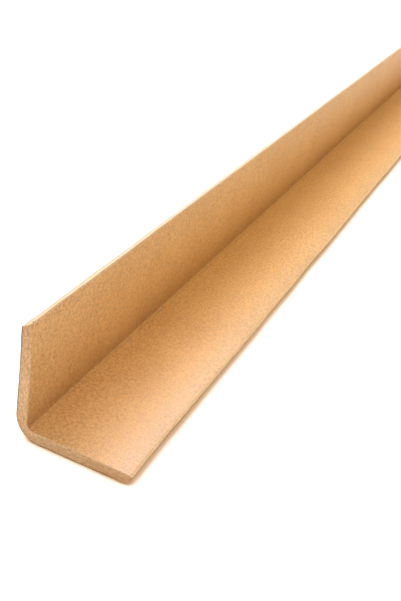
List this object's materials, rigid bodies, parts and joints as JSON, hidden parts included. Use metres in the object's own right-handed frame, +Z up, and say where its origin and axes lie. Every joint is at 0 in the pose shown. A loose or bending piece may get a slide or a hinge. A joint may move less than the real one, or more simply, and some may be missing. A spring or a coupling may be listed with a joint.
{
  "type": "pallet edge protector",
  "caption": "Straight length of solid laminated board folded to a right angle, laid over a pallet load's edge so that straps do not cut in.",
  "frame": {"origin": "under the middle of the bounding box, on the surface that the flat leg lies on", "axes": "+Z up along the upright leg, +X from the fold out along the flat leg, +Y along the length, away from the end seen in the picture"},
  "size_m": [0.047, 0.8, 0.05],
  "materials": {
    "kraft_board": "brown kraft liner over pressed paper plies, matt with a faint sheen, bare ply edges at the sawn ends"
  },
  "bodies": {
    "root": {"angle_board": "kraft_board"}
  },
  "joints": []
}
